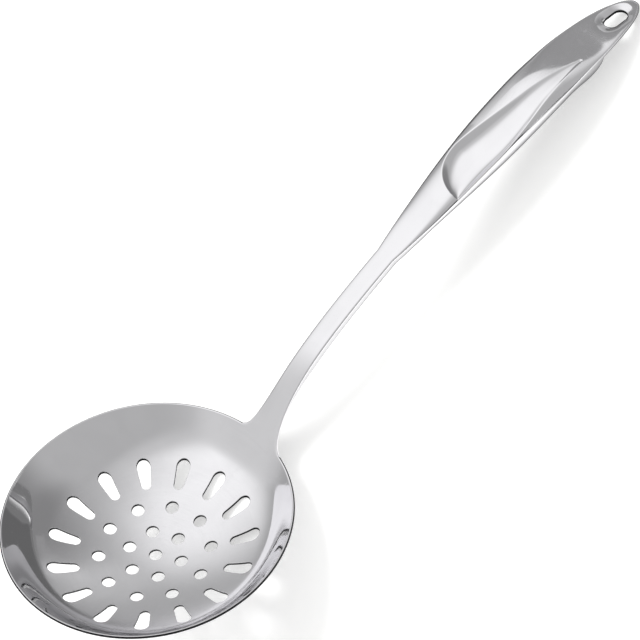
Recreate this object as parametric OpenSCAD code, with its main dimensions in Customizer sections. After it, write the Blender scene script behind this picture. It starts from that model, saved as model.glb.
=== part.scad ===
// Slotted spoon of polished stainless steel, for lifting and draining food.
// The bowl is a round pressed sheet with a ring of slots around rings of
// holes. A neck rises from its rim and swells into a hollow grip with a
// thumb recess, and the grip ends in a flat tip with a hanging hole.
// The spoon lies as it rests on a table, on the bowl's underside and the tip.

/* [Bowl] */
// Diameter of the bowl, across the outer edge of its rim
bowl_d = 116; // [104:1:128]
// Depth of the bowl, from its rim down to the middle of its floor
bowl_h = 26; // [23:0.5:29]
// Thickness of the sheet
sheet_t = 1.2; // [1:0.1:1.6]
// Radius where the shallow floor turns up into the wall, as a share of the rim's
floor_share = 0.61; // [0.56:0.01:0.66]
// Radius of curvature of the floor, as a multiple of the rim's radius
floor_curve = 1.85; // [1.7:0.05:2.1]

/* [Slots and holes] */
// Number of slots around the floor, odd so that the handle meets a gap
slot_n = 15; // [11:2:17]
// Radius of the slots' inner ends, as a share of the rim's
slot_in_share = 0.571; // [0.54:0.01:0.60]
// Radius of the slots' outer ends, as a share of the rim's
slot_out_share = 0.700; // [0.67:0.01:0.72]
// Width of a slot at its inner end
slot_in_w = 4.2; // [3.4:0.1:5]
// Width of a slot at its outer end
slot_out_w = 5.8; // [4.6:0.1:6.4]
// Diameter of the round holes
hole_d = 5.3; // [4.2:0.1:6]
// Number of holes in the outer ring
outer_hole_n = 10; // [8:1:12]
// Radius of the outer ring of holes, as a share of the rim's
outer_hole_share = 0.397; // [0.38:0.01:0.42]
// Number of holes in the inner ring
inner_hole_n = 6; // [4:1:7]
// Radius of the inner ring of holes, as a share of the rim's
inner_hole_share = 0.200; // [0.18:0.01:0.22]

/* [Neck] */
// Length of the handle along its curve, from the rim to the tip
handle_l = 237; // [220:1:250]
// Length of the neck, from the rim to where the grip starts
neck_l = 91; // [82:1:96]
// Width of the neck
neck_w = 9.3; // [8.5:0.1:12]
// Thickness of the neck
neck_t = 4.2; // [3:0.1:5]
// Width that the neck spreads to where it meets the rim
root_w = 27.2; // [24:0.2:32]
// Length over which the neck bends out of the wall's slope, most of it at once
bend_l = 35; // [28:1:42]
// Slope of the neck above the rim's plane, past the bend
neck_deg = 26; // [22:0.5:30]

/* [Grip] */
// Greatest width of the grip
grip_w = 24.6; // [22:0.2:28]
// Height of the grip's front above its widest line
grip_front_h = 6.1; // [5:0.1:7.5]
// Depth of the grip's back below its widest line
grip_back_h = 7.5; // [6.5:0.1:9.5]
// Distance from the tip to the grip's widest place
grip_wide_l = 63; // [56:1:68]
// Distance from the tip to the end of the grip's deep back
back_end_l = 29.5; // [23:0.5:30]
// Slope of the grip above the rim's plane
grip_deg = 23; // [20:0.5:26]
// Slope that the curve heads for past the tip
tip_deg = 3.5; // [-1:0.5:8]

/* [Thumb recess] */
// Distance from the tip to the recess's pointed upper end
recess_end_l = 37; // [33:0.5:42]
// Length of the recess along the grip
recess_l = 74.5; // [68:0.5:82]
// Greatest width of the recess
recess_w = 18.2; // [14:0.1:19]
// Depth of the recess below its two edges
recess_h = 2.6; // [1.8:0.1:3.2]

/* [Tip] */
// Thickness of the flat tip
tip_t = 2.6; // [2.2:0.1:3.2]
// Length of the hanging hole, along the tip
hang_l = 10.9; // [9.5:0.1:12]
// Width of the hanging hole
hang_w = 6.5; // [5.5:0.1:7.2]
// Distance from the tip's end to the middle of the hanging hole
hang_c = 11.8; // [10:0.1:13]
// Width of the sloping lip around the hanging hole
dish_w = 3.1; // [2.4:0.1:3.3]
// Depth that the lip sinks to at the hole
dish_h = 1.3; // [0.8:0.1:1.5]

/* [Hidden] */
$fn = 96;

// The bowl's profile: the floor's arc, then the wall's arc, tangent to it.
rim_r = bowl_d / 2 - 0.9 * sheet_t;
floor_r = floor_share * rim_r;
floor_arc_r = floor_curve * rim_r;
floor_deg = asin(floor_r / floor_arc_r);
floor_edge_z = -bowl_h + floor_arc_r * (1 - cos(floor_deg));
rim_deg = 2 * atan(-floor_edge_z / (rim_r - floor_r)) - floor_deg;
wall_arc_r = (rim_r - floor_r) / (sin(rim_deg) - sin(floor_deg));
floor_c = [0, floor_arc_r - bowl_h];
wall_c = [floor_r - wall_arc_r * sin(floor_deg), floor_edge_z + wall_arc_r * cos(floor_deg)];

// Middle of the sheet at the rim, where the handle's curve starts.
root = [rim_r + sheet_t / 2 * sin(rim_deg), -sheet_t / 2 * cos(rim_deg)];

// Places along the handle's curve, measured from the rim.
root_s = -2.5;
wide_s = handle_l - grip_wide_l;
taper_s = wide_s + 4;
tab_s = handle_l - back_end_l;
hang_s = handle_l - hang_c;
recess_s = handle_l - recess_end_l - recess_l;
neck_front = neck_t * 0.32;
neck_back = neck_t - neck_front;
tip_front = tip_t * 0.35;
tip_back = tip_t - tip_front;

// Smooth step from 0 to 1, and a minimum that is rounded where two values cross.
function ease(x) = let (t = min(1, max(0, x))) t * t * (3 - 2 * t);
function soft_min(a, b, k) = let (h = max(k - abs(a - b), 0) / k) min(a, b) - h * h * k / 4;

// Slope of the handle's curve at s.
function slope(s) = rim_deg
    + (neck_deg - rim_deg) * (1 - exp(-max(0, s) / bend_l))
    + (grip_deg - neck_deg) * ease((s - neck_l - 9) / 74)
    + (tip_deg - grip_deg) * ease((s - wide_s + 6) / 86);

// The handle's curve as points 1 mm apart, then the point and directions at any s.
step_n = ceil(handle_l) + 1;
curve = [for (i = 0, p = root; i <= step_n;
              p = p + [cos(slope(i + 0.5)), sin(slope(i + 0.5))], i = i + 1) p];
function along(s) = [cos(slope(s)), sin(slope(s))];
function front(s) = [-sin(slope(s)), cos(slope(s))];
function spine(s) = s <= 0 ? root + s * along(0)
    : let (i = min(floor(s), step_n - 1)) curve[i] + (s - i) * (curve[i + 1] - curve[i]);

// Half width, front height and back depth of the handle at s.
function end_round(s) = sqrt(max(0.02, 1 - pow(max(0, (s - handle_l + 1.2) / 1.2), 2)));
function taper(s) = sqrt(max(0, 1 - pow(max(0, (s - taper_s) / (handle_l - taper_s)), 2.3)));
function swell(s) = pow(sin(90 * min(1, max(0, (s - neck_l) / (wide_s - neck_l)))), 0.9);
function half_w(s) = let (q = max(0, s)) (neck_w / 2
    + (root_w - neck_w) / 2 * (0.62 * exp(-q / 10) + 0.38 * exp(-q / 1.5))
    + (grip_w - neck_w) / 2 * swell(q)) * taper(q);
function front_h(s) = (sheet_t * 0.45 + (neck_front - sheet_t * 0.45) * ease((s - 5) / 40)
    + (grip_front_h - neck_front) * ease((s - neck_l) / 68)
    - (grip_front_h - tip_front) * ease((s - wide_s) / 38)) * end_round(s);
// 1 along the grip, falling to 0 where its deep back ends in a blunt nose.
function back_end(s) = sqrt(max(0, 1 - pow(min(1, max(0, (s - tab_s + 12) / 12)), 2.4)));
function back_h(s) = (sheet_t * 0.45 + (neck_back - sheet_t * 0.45) * ease((s - 5) / 40)
    + (grip_back_h - neck_back) * ease((s - neck_l) / 68)
    - (grip_back_h - tip_back) * (1 - back_end(s))) * end_round(s);
// Squareness of the section: 2 is an ellipse, more is a slab with round sides.
function square_n(s) = 6 - 3.4 * ease(s / 30) - 0.3 * ease((s - neck_l) / 40)
    + 2.4 * ease((s - tab_s + 20) / 24);

// The thumb recess: its two edges at s, and its surface between them.
function recess_t(s) = (s - recess_s) / recess_l;
function recess_start(s) = sqrt(max(0, 1 - pow(1 - min(1, recess_t(s) / 0.22), 2)));
function recess_fade(s) = 1 - pow(max(0, (recess_t(s) - 0.22) / 0.78), 1.15);
function recess_span(s) = recess_w * recess_start(s) * recess_fade(s);
function recess_edge(s) = -half_w(s) * (0.95 - 0.4 * ease((recess_t(s) - 0.3) / 0.8));
function body_v(s, u) = let (n = square_n(s))
    front_h(s) * pow(max(0, 1 - pow(abs(u) / half_w(s), n)), 1 / n);
function recess_v(s, u) = let (
        w = max(0.3, recess_span(s)), e = recess_edge(s), x = (u - e) / w,
        lo = body_v(s, e), hi = body_v(s, e + w),
        d = recess_h * pow(recess_start(s), 0.8) * pow(recess_fade(s), 1.3))
    lo + (hi - lo) * x - d * (1 - pow(2 * x - 1, 4));
function in_recess(s) = recess_t(s) > 0 && recess_t(s) < 1;

// The lip around the hanging hole, by distance from the hole's middle line. It
// reaches further towards the grip.
hang_core = (hang_l - hang_w) / 2;
function lip_d(s, u) = norm([max(0, abs(s - hang_s) - hang_core) * (s < hang_s ? 0.86 : 1), u]);
function lip_v(s, u) = dish_h
    * (1 - soft_min(1, max(0, (lip_d(s, u) - hang_w / 2) / dish_w), 0.4));

function front_v(s, u) = let (b = body_v(s, u))
    (in_recess(s) ? soft_min(b, recess_v(s, u), 0.9) : b) - lip_v(s, u);

// One ring of points around the handle at s, in the bowl's frame. Near the rim
// the ring bends round with the wall, and it straightens out along the neck.
side_n = 14;
back_n = 14;
function wrap(s) = 1 - ease(s / 26);
function place(s, u, v) = let (p = spine(s) + v * front(s),
        c = sqrt(max(1, p[0] * p[0] - u * u)) - p[0])
    [p[0] + wrap(s) * c, u, p[1]];
function power(x, e) = sign(x) * pow(abs(x), e);
function side_u(s) = let (n = square_n(s), a = half_w(s))
    [for (i = [0 : 2 * side_n]) a * power(cos(90 * i / side_n), 2 / n)];
// Inside the recess, the point nearest to each of its edges is put on the edge.
function on_edge(s, us, i) = let (u = us[i], near = recess_edge(s), far = near + recess_span(s),
        lo = i == 2 * side_n ? u : (u + us[i + 1]) / 2, hi = i == 0 ? u : (u + us[i - 1]) / 2)
    !in_recess(s) ? u : far > lo && far <= hi ? far : near > lo && near <= hi ? near : u;
function ring(s) = let (n = square_n(s), a = half_w(s), b = back_h(s), us = side_u(s)) concat(
    [for (i = [0 : 2 * side_n]) let (u = on_edge(s, us, i)) place(s, u, front_v(s, u))],
    [for (i = [1 : back_n - 1]) let (g = 180 + 180 * i / back_n)
        place(s, a * power(cos(g), 2 / n), b * power(sin(g), 2 / n))]);
ring_n = 2 * side_n + back_n;

// Rings are close where the shape changes fast, and further apart between.
stations = concat([root_s, -0.8, 0, 0.8, 1.8, 3.2, 5, 7.5],
    [for (s = [11 : 5 : neck_l - 4]) s],
    [for (i = [0 : 11]) neck_l - 1 + i * (recess_s - neck_l) / 12],
    [for (i = [1 : 15]) recess_s + 0.22 * recess_l * (1 - sqrt(1 - pow(i / 16, 2)))],
    [for (i = [0 : 21]) recess_s + recess_l * (0.2 + 0.8 * i / 21)],
    [for (i = [1 : 2]) recess_s + recess_l + i * (tab_s - 2.8 - recess_s - recess_l) / 2],
    [tab_s - 1.5, tab_s - 0.6, tab_s - 0.1, tab_s + 0.1],
    [for (i = [1 : 2]) tab_s + i * (hang_s - 10.2 - tab_s) / 2],
    [for (i = [1 : 18]) hang_s - 10.2 + i * (handle_l - 0.9 - hang_s + 10.2) / 18],
    [handle_l - 0.45, handle_l - 0.15, handle_l - 0.02]);

// Angle that the spoon tips to when it lies on the bowl's underside and the tip.
under = [for (s = stations) if (s > tab_s) spine(s) - back_h(s) * front(s)];
function up(a) = [-sin(a), cos(a)];
function bowl_low(a) = wall_c * up(a) - wall_arc_r - sheet_t;
function tip_low(a) = min([for (p = under) p * up(a)]);
function tip_over(lo, hi, k) = let (m = (lo + hi) / 2) k == 0 ? m
    : tip_low(m) > bowl_low(m) ? tip_over(m, hi, k - 1) : tip_over(lo, m, k - 1);
rest_deg = tip_over(10, 50, 26);
rest_x = [cos(rest_deg), sin(rest_deg)];
left_x = min([-wall_c[0], wall_c[1]] * rest_x - wall_arc_r - sheet_t,
    [-root[0], root[1]] * rest_x - sheet_t / 2);
right_x = max([for (s = stations) if (s > tab_s)
    max((spine(s) + front_v(s, 0) * front(s)) * rest_x,
        (spine(s) - back_h(s) * front(s)) * rest_x)]);

// The sheet's outline in the bowl's profile: along the inside, round the rim's
// edge, and back along the outside.
function arc(c, r, a0, a1, n) = [for (i = [0 : n]) let (a = a0 + (a1 - a0) * i / n)
    c + r * [sin(a), -cos(a)]];
function tail(list) = [for (i = [1 : len(list) - 1]) list[i]];
sheet_outline = concat(
    arc(floor_c, floor_arc_r, 0, floor_deg, 7),
    tail(arc(wall_c, wall_arc_r, floor_deg, rim_deg, 14)),
    [for (i = [1 : 5]) root + sheet_t / 2
        * [cos(rim_deg + 90 - 30 * i), sin(rim_deg + 90 - 30 * i)]],
    arc(wall_c, wall_arc_r + sheet_t, rim_deg, floor_deg, 14),
    tail(arc(floor_c, floor_arc_r + sheet_t, floor_deg, 0, 7)));

module bowl_sheet() {
    rotate_extrude() polygon(sheet_outline);
}

// Cutter for one slot, wider at its outer end, with round ends.
module slot_cutter() {
    x0 = slot_in_share * rim_r;
    x1 = slot_out_share * rim_r;
    r0 = slot_in_w / 2;
    r1 = slot_out_w / 2;
    lean = asin((r1 - r0) / (x1 - x0));
    translate([0, 0, -2 * bowl_h]) linear_extrude(3 * bowl_h) polygon(concat(
        end_arc(x1, r1, -90 - lean, 90 + lean), end_arc(x0, r0, 90 + lean, 270 - lean)));
}
function end_arc(x, r, a0, a1) = [for (i = [0 : 14]) let (a = a0 + (a1 - a0) * i / 14)
    [x + r * cos(a), r * sin(a)]];

module hole_cutter(r, a) {
    rotate(a) translate([r, 0, -2 * bowl_h]) cylinder(d = hole_d, h = 3 * bowl_h);
}

module bowl() {
    color("silver") difference() {
        bowl_sheet();
        for (i = [0 : slot_n - 1]) rotate((i + 0.5) * 360 / slot_n) slot_cutter();
        for (i = [0 : outer_hole_n - 1])
            hole_cutter(outer_hole_share * rim_r, i * 360 / outer_hole_n);
        for (i = [0 : inner_hole_n - 1])
            hole_cutter(inner_hole_share * rim_r, i * 360 / inner_hole_n);
        hole_cutter(0, 0);
    }
}

// True where the facets turn the other way, to run along the recess's far edge.
function along_far(k, i) = recess_t(stations[k]) > 0.18 && recess_t(stations[k]) < 1
    && i < side_n + 4;

// Neck, grip and tip as one skin of rings, closed at both ends.
module handle_body() {
    rings = [for (s = stations) ring(s)];
    last = len(rings) - 1;
    points = concat([for (r = rings) each r], [place(stations[0], 0, 0)],
        [place(stations[last], 0, 0)]);
    c0 = len(points) - 2;
    c1 = len(points) - 1;
    polyhedron(points, concat(
        [for (k = [0 : last - 1], i = [0 : ring_n - 1]) let (j = (i + 1) % ring_n)
            along_far(k, i) ? [k * ring_n + i, (k + 1) * ring_n + i, (k + 1) * ring_n + j]
                : [k * ring_n + i, (k + 1) * ring_n + i, k * ring_n + j]],
        [for (k = [0 : last - 1], i = [0 : ring_n - 1]) let (j = (i + 1) % ring_n)
            along_far(k, i) ? [k * ring_n + i, (k + 1) * ring_n + j, k * ring_n + j]
                : [k * ring_n + j, (k + 1) * ring_n + i, (k + 1) * ring_n + j]],
        [for (i = [0 : ring_n - 1]) [c0, i, (i + 1) % ring_n]],
        [for (i = [0 : ring_n - 1])
            [c1, last * ring_n + (i + 1) % ring_n, last * ring_n + i]]));
}

module handle() {
    p = spine(hang_s);
    color("silver") difference() {
        handle_body();
        translate([p[0], 0, p[1]]) rotate([0, -slope(hang_s), 0]) translate([0, 0, -6])
            linear_extrude(12) polygon(concat(end_arc(hang_core, hang_w / 2, -90, 90),
                end_arc(-hang_core, hang_w / 2, 90, 270)));
    }
}

module slotted_spoon() {
    translate([-(left_x + right_x) / 2, 0, -bowl_low(rest_deg)]) rotate([0, rest_deg, 0]) {
        bowl();
        handle();
    }
}

slotted_spoon();
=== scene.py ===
# %% [markdown]
# # A slotted spoon in polished steel
# The spoon is one piece of stainless steel: a pressed bowl with slots and
# holes, a neck that rises from its rim, and a hollow grip with a thumb recess.
# Steel shows hardly anything of its own. It shows the room, bent by its shape,
# so this scene is mostly about smooth surfaces and about what they reflect.
#
# The first lines load the engineering model as a fixed frame. Everything made
# later is in metres and sits in that frame.

# %% The tools and the fixed frame
import math

import bmesh
import bpy
import numpy as np
from mathutils import Euler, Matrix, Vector
from mathutils.geometry import delaunay_2d_cdt


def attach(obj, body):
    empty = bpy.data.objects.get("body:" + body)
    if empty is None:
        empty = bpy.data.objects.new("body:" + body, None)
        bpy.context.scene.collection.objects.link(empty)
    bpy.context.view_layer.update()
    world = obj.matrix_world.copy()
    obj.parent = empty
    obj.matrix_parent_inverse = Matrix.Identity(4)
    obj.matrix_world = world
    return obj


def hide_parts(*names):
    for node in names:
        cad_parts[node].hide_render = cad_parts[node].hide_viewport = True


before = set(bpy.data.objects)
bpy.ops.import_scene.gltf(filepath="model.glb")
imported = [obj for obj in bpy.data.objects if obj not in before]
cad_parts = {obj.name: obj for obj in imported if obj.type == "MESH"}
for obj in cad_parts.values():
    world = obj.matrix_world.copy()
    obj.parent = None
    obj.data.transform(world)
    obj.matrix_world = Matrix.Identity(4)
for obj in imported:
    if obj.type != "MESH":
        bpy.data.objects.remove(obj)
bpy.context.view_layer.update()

# %% [markdown]
# ## The sizes of the real spoon
# A mirror finish forgives nothing. The flat facets of an engineering mesh would
# show as broken reflections, so the same shape is made again here from the same
# sizes, with far finer steps. Lengths are in millimetres while we build. In the
# names, D is a diameter, L a length along the spoon, W a width, T a thickness
# and H a depth. Places in the bowl are shares of its radius.

# %% Sizes in millimetres
BOWL_D, BOWL_H, SHEET_T = 116.0, 26.0, 1.2
FLOOR_SHARE, FLOOR_CURVE = 0.61, 1.85
SLOT_N, SLOT_IN, SLOT_OUT, SLOT_IN_W, SLOT_OUT_W = 15, 0.571, 0.700, 4.2, 5.8
HOLE_D, OUTER_HOLE_N, OUTER_HOLE, INNER_HOLE_N, INNER_HOLE = 5.3, 10, 0.397, 6, 0.200
HANDLE_L, NECK_L, NECK_W, NECK_T, ROOT_W, BEND_L, NECK_DEG = 237, 91, 9.3, 4.2, 27.2, 35, 26
GRIP_W, GRIP_FRONT, GRIP_BACK, GRIP_WIDE_L, BACK_END_L = 24.6, 6.1, 7.5, 63, 29.5
GRIP_DEG, TIP_DEG = 23, 3.5      # slopes in degrees, as NECK_DEG
RECESS_END_L, RECESS_L, RECESS_W, RECESS_H = 37, 74.5, 18.2, 2.6
TIP_T, HANG_L, HANG_W, HANG_C, DISH_W, DISH_H = 2.6, 10.9, 6.5, 11.8, 3.1, 1.3
EDGE = 0.15                      # width of the softened edge round every opening
print("the bowl is", BOWL_D, "mm across, the handle", HANDLE_L, "mm long")

# %% [markdown]
# ## The bowl's profile
# The bowl is pressed in a round die. Cut through its middle, the sheet follows
# two arcs: a shallow one for the floor and a tighter one for the wall. They
# meet in the same direction, so a reflection bends there but never breaks.
# Because both arcs are known exactly, we can compute the exact direction that
# each point of the surface faces, its normal.
#
# One thing is bent on purpose. On the inside, the normals near the rim are
# leant as if the wall were a little flatter there. It then mirrors the same
# part of the room as the wall in the photo does. The shape stays true.

# %% Two arcs, and the height and normal at any radius
RIM_R = BOWL_D / 2 - 0.9 * SHEET_T
FLOOR_R = FLOOR_SHARE * RIM_R
FLOOR_ARC = FLOOR_CURVE * RIM_R
FLOOR_A = math.asin(FLOOR_R / FLOOR_ARC)
FLOOR_EDGE_Z = -BOWL_H + FLOOR_ARC * (1 - math.cos(FLOOR_A))
RIM_A = 2 * math.atan(-FLOOR_EDGE_Z / (RIM_R - FLOOR_R)) - FLOOR_A
WALL_ARC = (RIM_R - FLOOR_R) / (math.sin(RIM_A) - math.sin(FLOOR_A))
FLOOR_C = np.array([0, FLOOR_ARC - BOWL_H])
WALL_C = np.array([FLOOR_R - WALL_ARC * math.sin(FLOOR_A),
                   FLOOR_EDGE_Z + WALL_ARC * math.cos(FLOOR_A)])


def sheet_at(radius, depth):
    """Height, and normal outwards and up, of the sheet `depth` mm below its inside."""
    on_floor = radius <= FLOOR_R + depth * math.sin(FLOOR_A)
    cx = np.where(on_floor, FLOOR_C[0], WALL_C[0])
    cz = np.where(on_floor, FLOOR_C[1], WALL_C[1])
    arc = np.where(on_floor, FLOOR_ARC, WALL_ARC) + depth
    rise = np.sqrt(arc ** 2 - (radius - cx) ** 2)
    return cz - rise, (cx - radius) / arc, rise / arc


SHOWN_RIM = math.radians(47)     # slope that the wall shows in its reflections
SHOWN_FROM, SHOWN_OVER = 0.71, 0.24     # where the leaning starts, and how wide it grows in


def ease(x):
    """A smooth step from 0 to 1."""
    t = np.clip(x, 0, 1)
    return t * t * (3 - 2 * t)


def shown_slope(radius):
    """Slope in radians that the polished inside shows at a radius."""
    floor = np.arcsin(np.clip(radius / FLOOR_ARC, 0, 1))
    return floor + (SHOWN_RIM - floor) * ease((radius / RIM_R - SHOWN_FROM) / SHOWN_OVER)


print("the wall meets the rim at", round(math.degrees(RIM_A), 2), "degrees")

# %% [markdown]
# ## Slots and holes
# The openings are punched straight down through the pressed bowl, and the
# polish leaves their edges slightly soft. Seen from above, a slot is a
# tapered bar with round ends. One function measures how far a point
# lies from a slot's outline. The same function keeps mesh points clear of the
# edge, and tells which triangles fall inside the opening and must go.

# %% Outlines of the openings, seen from above
SLOT_R0, SLOT_R1 = SLOT_IN_W / 2, SLOT_OUT_W / 2
SLOT_X0, SLOT_X1 = SLOT_IN * RIM_R, SLOT_OUT * RIM_R
SLOT_LEAN = math.asin((SLOT_R1 - SLOT_R0) / (SLOT_X1 - SLOT_X0))
slot_turns = [(i + 0.5) * math.tau / SLOT_N for i in range(SLOT_N)]
hole_centres = [(0.0, 0.0)] + [
    (share * RIM_R * math.cos(i * math.tau / n), share * RIM_R * math.sin(i * math.tau / n))
    for share, n in ((OUTER_HOLE, OUTER_HOLE_N), (INNER_HOLE, INNER_HOLE_N)) for i in range(n)]


def slot_outline(turn, grow, n=22, flank_n=14):
    """Points round one slot, `grow` mm outside its edge, with their outward directions."""
    far = np.linspace(-math.pi / 2 - SLOT_LEAN, math.pi / 2 + SLOT_LEAN, n)
    near = np.linspace(math.pi / 2 + SLOT_LEAN, 1.5 * math.pi - SLOT_LEAN, n)
    out = np.concatenate([far, near])
    centre = np.concatenate([np.full(n, SLOT_X1), np.full(n, SLOT_X0)])
    size = np.concatenate([np.full(n, SLOT_R1), np.full(n, SLOT_R0)]) + grow
    points = np.stack([centre + size * np.cos(out), size * np.sin(out)], 1)
    facing = np.stack([np.cos(out), np.sin(out)], 1)
    steps = np.linspace(0, 1, flank_n + 1)[1:-1, None]
    rows = []
    for a, b in ((0, n), (n, 2 * n)):
        after = b % (2 * n)
        rows.append((points[a:b], facing[a:b]))
        rows.append((points[b - 1] + steps * (points[after] - points[b - 1]),
                     np.repeat(facing[b - 1][None], flank_n - 1, 0)))
    points, facing = (np.concatenate([row[k] for row in rows]) for k in (0, 1))
    c, s = math.cos(turn), math.sin(turn)
    spin = np.array([[c, s], [-s, c]])
    return points @ spin, facing @ spin


def hole_outline(centre, grow, n=48):
    """Points round one hole, and their outward directions."""
    a = np.arange(n) * math.tau / n
    facing = np.stack([np.cos(a), np.sin(a)], 1)
    return np.array(centre) + (HOLE_D / 2 + grow) * facing, facing


def distance_to_openings(xy):
    """Distance from each point to the nearest opening's edge, below zero inside one."""
    far = np.full(len(xy), 1e9)
    for centre in hole_centres:
        far = np.minimum(far, np.hypot(*(xy - np.array(centre)).T) - HOLE_D / 2)
    length, lean = SLOT_X1 - SLOT_X0, math.sin(SLOT_LEAN)
    flat = math.cos(SLOT_LEAN)
    for turn in slot_turns:
        along = xy @ np.array([math.cos(turn), math.sin(turn)]) - SLOT_X0
        across = np.abs(xy @ np.array([-math.sin(turn), math.cos(turn)]))
        side = lean * across + flat * along
        d = np.where(side < 0, np.hypot(along, across) - SLOT_R0,
                     np.where(side > flat * length, np.hypot(along - length, across) - SLOT_R1,
                              flat * across - lean * along - SLOT_R0))
        far = np.minimum(far, d)
    return far


print(len(slot_turns), "slots and", len(hole_centres), "holes")

# %% [markdown]
# ## The bowl as one smooth mesh
# We could cut the slots out of a turned bowl with Boolean modifiers, but they
# leave long thin faces, and a mirror shows every one of them. Instead the
# pierced floor is drawn flat, as seen from above, and filled with small even
# triangles that follow every edge (a constrained Delaunay triangulation). Each
# point is then lifted to its exact height, once for the inside and once for
# the underside. A turned band carries on from there up to the rounded rim.
# Two helpers come first: one gathers the mesh, the other does the lifting.

# %% Helpers that gather and lift points
class Skin:
    """Collects points with their normals, and the faces between them."""

    def __init__(self):
        self.points, self.normals, self.faces, self.count = [], [], [], 0
        # The faces listed here get the cut finish, whose near-black colour is painted shade.
        self.cut = []            # numbers of the faces that stay unpolished

    def add(self, points, normals):
        self.points.append(np.asarray(points, float))
        self.normals.append(np.asarray(normals, float))
        first = self.count
        self.count += len(points)
        return np.arange(first, self.count)

    def strip(self, a, b, is_painted_shade_cut=False):
        """Joins two closed rows of points with a strip of four-sided faces."""
        # Faces marked as cut get the cut finish, near black with painted shade.
        if is_painted_shade_cut:
            self.cut += range(len(self.faces), len(self.faces) + len(a))
        self.faces += np.stack([a, np.roll(a, -1), np.roll(b, -1), b], 1).tolist()


def on_sheet(xy, depth):
    """Points on the sheet above the plan points xy, and their normals."""
    radius = np.hypot(*xy.T)
    z, out, up = sheet_at(radius, depth)
    if depth == 0:
        out, up = -np.sin(shown_slope(radius)), np.cos(shown_slope(radius))
    direction = xy / np.maximum(radius, 1e-9)[:, None]
    return np.column_stack([xy, z]), np.column_stack([direction * out[:, None], up])


# %% [markdown]
# ## The flat drawing
# Rows of points fill the floor, every second row shifted by half a step, so
# that they make even triangles. Points too near to an edge are left out, and
# the outlines themselves are added as edges that the triangles must keep.

# %% The pierced floor, drawn flat
BAND_R = 0.80 * RIM_R           # the filled floor ends here, and the turned band begins
TURN_N = 360                    # points round a full circle
STEP, ROW_SHARE = 0.85, 0.866   # spacing of the filling points, and of their rows
CLEAR_OF_BAND, CLEAR_OF_EDGE = 0.5, 0.4
outlines = ([slot_outline(turn, EDGE) for turn in slot_turns]
            + [hole_outline(centre, EDGE) for centre in hole_centres])
turn_angles = np.arange(TURN_N) * math.tau / TURN_N
circle = np.stack([np.cos(turn_angles), np.sin(turn_angles)], 1)
grid_x, grid_y = np.meshgrid(np.arange(-BAND_R, BAND_R, STEP),
                             np.arange(-BAND_R, BAND_R, STEP * ROW_SHARE))
grid_x = grid_x + (np.arange(len(grid_x)) % 2)[:, None] * STEP / 2
inner = np.stack([grid_x.ravel(), grid_y.ravel()], 1)
inner = inner[(np.hypot(*inner.T) < BAND_R - CLEAR_OF_BAND)
              & (distance_to_openings(inner) > EDGE + CLEAR_OF_EDGE)]
loops = [circle * BAND_R] + [points for points, facing in outlines]
starts = np.cumsum([0] + [len(loop) for loop in loops])
edges = [(int(start + i), int(start + (i + 1) % len(loop)))
         for start, loop in zip(starts, loops) for i in range(len(loop))]
plan = np.concatenate(loops + [inner])
filled = delaunay_2d_cdt([Vector(p) for p in plan], edges, [], 0, 1e-6)
plan_out = np.array([tuple(p) for p in filled[0]])
triangles = np.array(filled[2])
middle = plan_out[triangles].mean(1)
triangles = triangles[distance_to_openings(middle) > EDGE * 0.4]
if len(plan_out) != len(plan) or np.abs(plan_out - plan).max() > 1e-3:
    raise ValueError("the flat floor's points moved while it was filled")
print("the floor has", len(triangles), "triangles a side")

# %% [markdown]
# ## Two sides and the walls between them
# The same flat drawing serves twice: lifted to the inside, and lifted to the
# underside with its faces turned over. Round every opening, a narrow slanting
# strip rounds off the edge, then the wall goes straight down to the other side.
# Those walls are noted in a list of cut faces, because they get a finish of their
# own, whose near-black colour is painted shade.

# %% Lifting the floor, and the walls of its openings
bowl_skin = Skin()
inside = bowl_skin.add(*on_sheet(plan, 0))
under_points, under_normals = on_sheet(plan, SHEET_T)
underside = bowl_skin.add(under_points, -under_normals)
bowl_skin.faces += inside[triangles].tolist() + underside[triangles[:, ::-1]].tolist()
for k, (points, facing) in enumerate(outlines):
    at = np.arange(starts[k + 1], starts[k + 2])
    edge_xy = points - EDGE * facing
    inward = np.column_stack([-facing, np.zeros(len(facing))])
    top, low = on_sheet(edge_xy, 0)[0], on_sheet(edge_xy, SHEET_T)[0]
    top[:, 2] -= EDGE
    low[:, 2] += EDGE
    top, low = bowl_skin.add(top, inward), bowl_skin.add(low, inward)
    bowl_skin.strip(inside[at], top)
    # The opening's wall gets the cut finish, whose near-black colour is painted shade.
    bowl_skin.strip(top, low, is_painted_shade_cut=True)
    bowl_skin.strip(low, underside[at])
print("the pierced floor has", len(bowl_skin.faces), "faces")

# %% [markdown]
# ## The wall and the rim
# From the edge of the filled floor outwards nothing is pierced, so the rest of
# the bowl is turned: one full circle of points after another, up the inside,
# round the bead of the rim, and down the outside. The bead's outer half gets
# the dark cut finish, painted shade that draws a fine dark line round the rim.

# %% The turned band and the rounded rim
WALL_ROWS, BEAD_ROWS, DARK_ROWS = 40, 14, 8


def turned_row(r, z, out, up):
    """A full circle of points at radius r and height z, facing (out, up)."""
    points = np.column_stack([circle * r, np.full(TURN_N, z)])
    return bowl_skin.add(points, np.column_stack([circle * out, np.full(TURN_N, up)]))


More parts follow.
